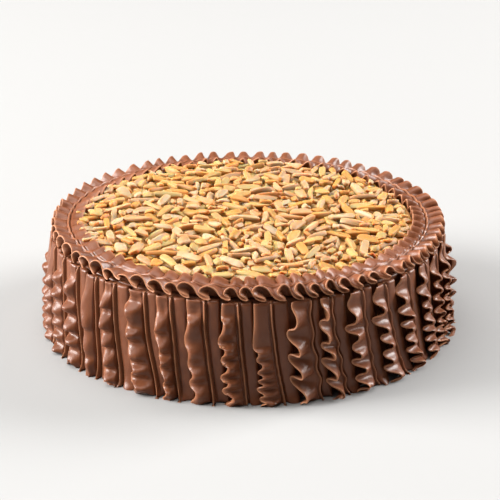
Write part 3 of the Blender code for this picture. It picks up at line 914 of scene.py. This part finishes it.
def strewn_slivers(draws):
    """Length, width, thickness, roll, place, turn and slope of every sliver that finds a place.

    They are laid one after another, the small bits last, which fill the gaps. Each tries some
    places at random and takes the lowest. It lies along the straight line that fits the heap
    under it, tilted by its lean if it is a propped one, and moved up until it clears the highest
    point there but for a little sinking in. A place counts as a metre higher where the sliver
    would reach past the border or over the top of the heap, which falls towards its edge as the
    eighth power of the radius, and a sliver with no other place is left out.
    """
    lengths, widths, thicknesses, rolls, leans = cut_slivers(draws)
    rises = thicknesses * np.cos(rolls) + ROLLED_WIDTH * widths * np.abs(np.sin(rolls))
    field = ALMOND_RADIUS + BORDER_LEAN_REACH
    cells = int(2 * field / FIELD_CELL) + 3
    across = (np.arange(cells) - 0.5) * FIELD_CELL - field
    from_axis = np.hypot(across[:, None] + HEAP_SHIFT, across[None, :])
    heap = np.where(from_axis < ALMOND_RADIUS, BED_HEIGHT, BORDER_LEAN_HEIGHT)
    kept, places, turns, slopes = [], [], [], []
    for number, length in enumerate(lengths):
        radius = (ALMOND_RADIUS - EDGE_OVERLAP * length) * np.sqrt(draws.random(TRIES))
        angle = draws.uniform(0, 2 * math.pi, TRIES)
        turn = draws.uniform(0, math.pi, TRIES)
        centre = np.stack([radius * np.cos(angle), radius * np.sin(angle)], axis=-1)
        ahead = np.stack([np.cos(turn), np.sin(turn)], axis=-1)
        beside = np.stack([-np.sin(turn), np.cos(turn)], axis=-1)
        tips = (np.linalg.norm(centre + end * length / 2, axis=1) for end in (ahead, -ahead))
        far = np.maximum(*tips)
        run = RESTING_LENGTH * length
        spot = centre[:, None, None] + ahead[:, None, None] * run[None, :, None, None]
        spot = spot + beside[:, None, None] * (RESTING_WIDTH * widths[number])[None, None, :, None]
        cell = np.clip(((spot + field) / FIELD_CELL).astype(int) + 1, 0, cells - 1)
        under = heap[cell[..., 0], cell[..., 1]].max(axis=2)
        slope = (under * run).sum(axis=1) / (run * run).sum()
        slope = np.clip(slope + leans[number], -SLIVER_SLOPE, SLIVER_SLOPE)
        base = (under - slope[:, None] * run).max(axis=1) - SLIVER_SINK
        top = base + rises[number] + np.abs(slope) * length / 2
        cost = base + (far > field) + (top > HEAP_TOP - HEAP_EDGE_FALL * (far / field) ** HEAP_EDGE_POWER)
        best = int(np.argmin(cost))
        if cost[best] >= 1:
            continue
        kept.append(number)
        places.append((*centre[best], base[best] + rises[number] / 2))
        turns.append(turn[best])
        slopes.append(slope[best])
        top = base[best] + rises[number] + slope[best] * run
        rows, columns = cell[best][..., 0], cell[best][..., 1]
        np.maximum.at(heap, (rows, columns), np.broadcast_to(top[:, None], rows.shape))
    places = np.array(places)
    places[:, 0] += HEAP_SHIFT
    sizes = (part[kept] for part in (lengths, widths, thicknesses, rolls))
    return *sizes, places, np.array(turns), np.array(slopes)


def two_ended(draws, limits, count, s):
    """A drawn value for each end of every sliver, spread over the stations of its half."""
    values = draws.uniform(*limits, (count, 2))
    return np.where(s < 0, values[:, :1], values[:, 1:])


def sliver_shapes(draws, lengths, widths, thicknesses, rolls, places, turns, slopes):
    """Points of every sliver as an array (sliver, station, side, 3).

    Along a sliver with s from -1 to 1, its width is 1 - (1 - end) |s|^bluntness of the full one,
    and its ends are cut aslant, as the fifth power of |s|. It bows and sags by 1 - s^2 and twists
    evenly.
    """
    count = len(lengths)
    s = np.array(SLIVER_STATIONS)[None, :]
    end = two_ended(draws, SLIVER_ENDS, count, s)
    narrow = 1 - (1 - end) * np.abs(s) ** two_ended(draws, SLIVER_BLUNTNESS, count, s)
    narrow = narrow * np.where(np.abs(s) == 1, SLIVER_TIP, 1)
    section_x, section_y = np.array(SLIVER_SECTION).T
    curves = (SLIVER_BOWS, SLIVER_SAGS)
    bow, sag = (draws.uniform(*limits, count)[:, None] * (1 - s**2) for limits in curves)
    twist = draws.uniform(*SLIVER_TWISTS, count)[:, None] * s + rolls[:, None]
    side = (0.5 * widths[:, None] * narrow)[..., None] * section_x
    height = SLIVER_EVEN_RISE + (1 - SLIVER_EVEN_RISE) * narrow
    rise = (0.5 * thicknesses[:, None] * height)[..., None] * section_y
    cut = two_ended(draws, SLIVER_CUTS, count, s) * np.abs(s) ** SLIVER_CUT_POWER
    run = (0.5 * lengths[:, None] * s)[..., None] + cut[..., None] * side
    cos, sin = np.cos(twist)[..., None], np.sin(twist)[..., None]
    side, rise = side * cos - rise * sin, side * sin + rise * cos
    side = side + bow[..., None]
    rise = rise + sag[..., None]
    cos, sin = np.cos(turns)[:, None, None], np.sin(turns)[:, None, None]
    level = (run * cos - side * sin, run * sin + side * cos)
    points = np.stack([*level, rise + run * slopes[:, None, None]], axis=-1)
    return points + places[:, None, None, :]


def sliver_tones(draws, count):
    """The colour of each of the slivers' points: its own tone, browner by a drawn share.

    That share is the sliver's own one, with more along some edges, on the cut sides, and at the
    ends, where it grows as the sixth power of |s|.
    """
    s = np.array(SLIVER_STATIONS)[None, :]
    on_side = np.abs(np.array(SLIVER_SECTION)[:, 0]) == 1
    tones = np.array(ALMOND_TONES)[draws.choice(len(ALMOND_TONES), count, p=ALMOND_TONE_SHARES)]
    tones = (tones * draws.uniform(*TONE_SPREAD, (count, 1)))[:, None, None, :]
    own = OWN_TOAST * draws.beta(*OWN_TOAST_SHAPE, count)[:, None, None]
    edges = draws.uniform(*EDGE_TOASTS, (count, 1, len(SLIVER_SECTION))) + SIDE_TOAST * on_side
    ends = draws.uniform(*END_TOASTS, (count, 1, 1)) * (np.abs(s) ** END_TOAST_POWER)[..., None]
    toast = np.clip(own + np.clip(edges, 0, None) + np.clip(ends, 0, None), 0, 1)
    colors = np.ones((*toast.shape, 4))
    colors[..., :3] = tones + (np.array(ALMOND_BROWN) - tones) * toast[..., None]
    return colors


draws = np.random.default_rng(ALMOND_SEED)
points = sliver_shapes(draws, *strewn_slivers(draws))
colors = sliver_tones(draws, len(points))
stations, sides = points.shape[1:3]
size = stations * sides
offsets = size * np.arange(len(points))[:, None, None]
tubes = (grid_faces(stations, sides)[None] + offsets).reshape(-1, 4)
ends = (np.stack([np.arange(sides)[::-1], np.arange(size - sides, size)])[None] + offsets).reshape(-1, sides)
faces = tubes.tolist() + ends.tolist()
almond, nodes = almond_finish(), ["almond_topping"]
slivers = food_piece("almond_slivers", points, faces, almond, nodes, sharp=SLIVER_CREASE)
tone_layer = slivers.data.attributes.new("almond_tone", "FLOAT_COLOR", "POINT")
tone_layer.data.foreach_set("color", colors.ravel().astype(np.float32))


# The bed under the almonds
# A thin layer of the same buttercream inside the border, dusty with almond, which shows only
# between the slivers pressed into it. Its pale orange tone is partly almond dust and partly painted
# bounce light between the slivers.
BED_LUMP = 0.0004
BED_LUMP_LENGTH = 0.0042
BED_TURNS = (2.1, 1.9, 0.8)
BED_SWINGS = (1.7, 1.3)
BED_RINGS = 70
BED_SIDES = 200
# Pale orange tones: almond dust, and painted bounce light between the slivers
BED_DUST_AND_BOUNCE_TONE = (0.480, 0.240, 0.070, 1)
BED_DEEP_DUST_AND_BOUNCE_TONE = (0.340, 0.150, 0.036, 1)


def bed_finish():
    """The bed between the slivers: buttercream and almond dust, with painted bounce light in its pale orange
    tone, matt and grainy.
    """
    finish, tree, shader = new_finish("almond_bed")
    dust = noise(tree, scale=420.0, detail=4.0)
    tree.links.new(mixed_tone(tree, dust, BED_DEEP_DUST_AND_BOUNCE_TONE, BED_DUST_AND_BOUNCE_TONE), shader.inputs["Base Color"])
    tree.links.new(relief(tree, dust, strength=0.6, distance=0.0005), shader.inputs["Normal"])
    set_values(shader, Roughness=0.6)
    return finish


def almond_bed():
    """A low disc whose top is a product of two sines, each with its phase swung by another."""
    ring = np.linspace(SMALLEST_RING, 1, BED_RINGS)
    angle = np.arange(BED_SIDES) * 2 * math.pi / BED_SIDES
    radius = np.concatenate([ALMOND_RADIUS * ring, ALMOND_RADIUS * ring[::-1]])[:, None]
    points = on_circle(angle, radius, BED_HEIGHT)
    x, y = points[..., 0] / BED_LUMP_LENGTH, points[..., 1] / BED_LUMP_LENGTH
    turn_x, turn_y, slow = BED_TURNS
    swing_x, swing_y = BED_SWINGS
    lumps = np.sin(x * turn_x + swing_x * np.sin(y)) * np.sin(y * turn_y + swing_y * np.sin(x * slow))
    upper = np.arange(len(radius))[:, None] < BED_RINGS
    points[..., 2] = np.where(upper, BED_HEIGHT + BED_LUMP * lumps, BORDER_BASE)
    return points, [face[::-1] for face in turned_faces(len(radius), BED_SIDES)]


points, faces = almond_bed()
food_piece("almond_bed", points, faces, bed_finish(), ["almond_topping"])


# Floor, light and camera
# A plain pale studio table under a broad light almost overhead, with a soft strong one on the left
# and a weaker one behind on the right. The camera looks down as a guest at the table does.
FLOOR_SIZE = 12.0
FLOOR_TONE = (0.258, 0.258, 0.258, 1)
FLOOR_ROUGHNESS = 0.8
WORLD_TONE = (1.0, 0.95, 0.90, 1)
WORLD_STRENGTH = 0.10
CAMERA_PLACE = (0.0, -0.96076, 0.42884)
CAMERA_DIP = math.radians(21.97)
CAMERA_TURN = math.radians(-0.072)
FOCAL_PIXELS = 1791.4
PICTURE_PIXELS = 500
SENSOR = 36.0
LIGHTS = (
    ("top_light", (-0.60, 0.15, 3.00), 3.0, 140.0, (1.0, 0.98, 0.95)),
    ("left_light", (-3.25, 0.00, 1.55), 2.0, 428.0, (1.0, 0.99, 0.97)),
    ("right_light", (2.80, 1.10, 1.60), 1.8, 250.0, (1.0, 0.99, 0.98)),
)


def studio_light(name, place, size, power, color):
    """A square soft light aimed at the middle of the cake."""
    light = bpy.data.lights.new(name, "AREA")
    light.shape = "SQUARE"
    light.size = size
    light.energy = power
    light.color = color
    lamp = bpy.data.objects.new(name, light)
    lamp.location = place
    lamp.rotation_euler = (-lamp.location).to_track_quat("-Z", "Y").to_euler()
    bpy.context.scene.collection.objects.link(lamp)


def pale_floor():
    """A matt pale plane under the cake."""
    mesh = bpy.data.meshes.new("floor")
    half = FLOOR_SIZE / 2
    corners = [(-half, -half, 0), (half, -half, 0), (half, half, 0), (-half, half, 0)]
    mesh.from_pydata(corners, [], [(0, 1, 2, 3)])
    finish, _, shader = new_finish("pale_table")
    set_values(shader, Base_Color=FLOOR_TONE, Roughness=FLOOR_ROUGHNESS)
    mesh.materials.append(finish)
    floor = bpy.data.objects.new("floor", mesh)
    bpy.context.scene.collection.objects.link(floor)


pale_floor()
for light in LIGHTS:
    studio_light(*light)
world = bpy.data.worlds.new("studio")
world.use_nodes = True
set_values(world.node_tree.nodes["Background"], Color=WORLD_TONE, Strength=WORLD_STRENGTH)
scene = bpy.context.scene
scene.world = world
scene.view_settings.view_transform = "Standard"

camera_data = bpy.data.cameras.new("camera")
camera_data.sensor_width = SENSOR
camera_data.lens = SENSOR * FOCAL_PIXELS / PICTURE_PIXELS
camera = bpy.data.objects.new("camera", camera_data)
camera.location = CAMERA_PLACE
camera.rotation_euler = (math.pi / 2 - CAMERA_DIP, 0, CAMERA_TURN)
scene.collection.objects.link(camera)
scene.camera = camera
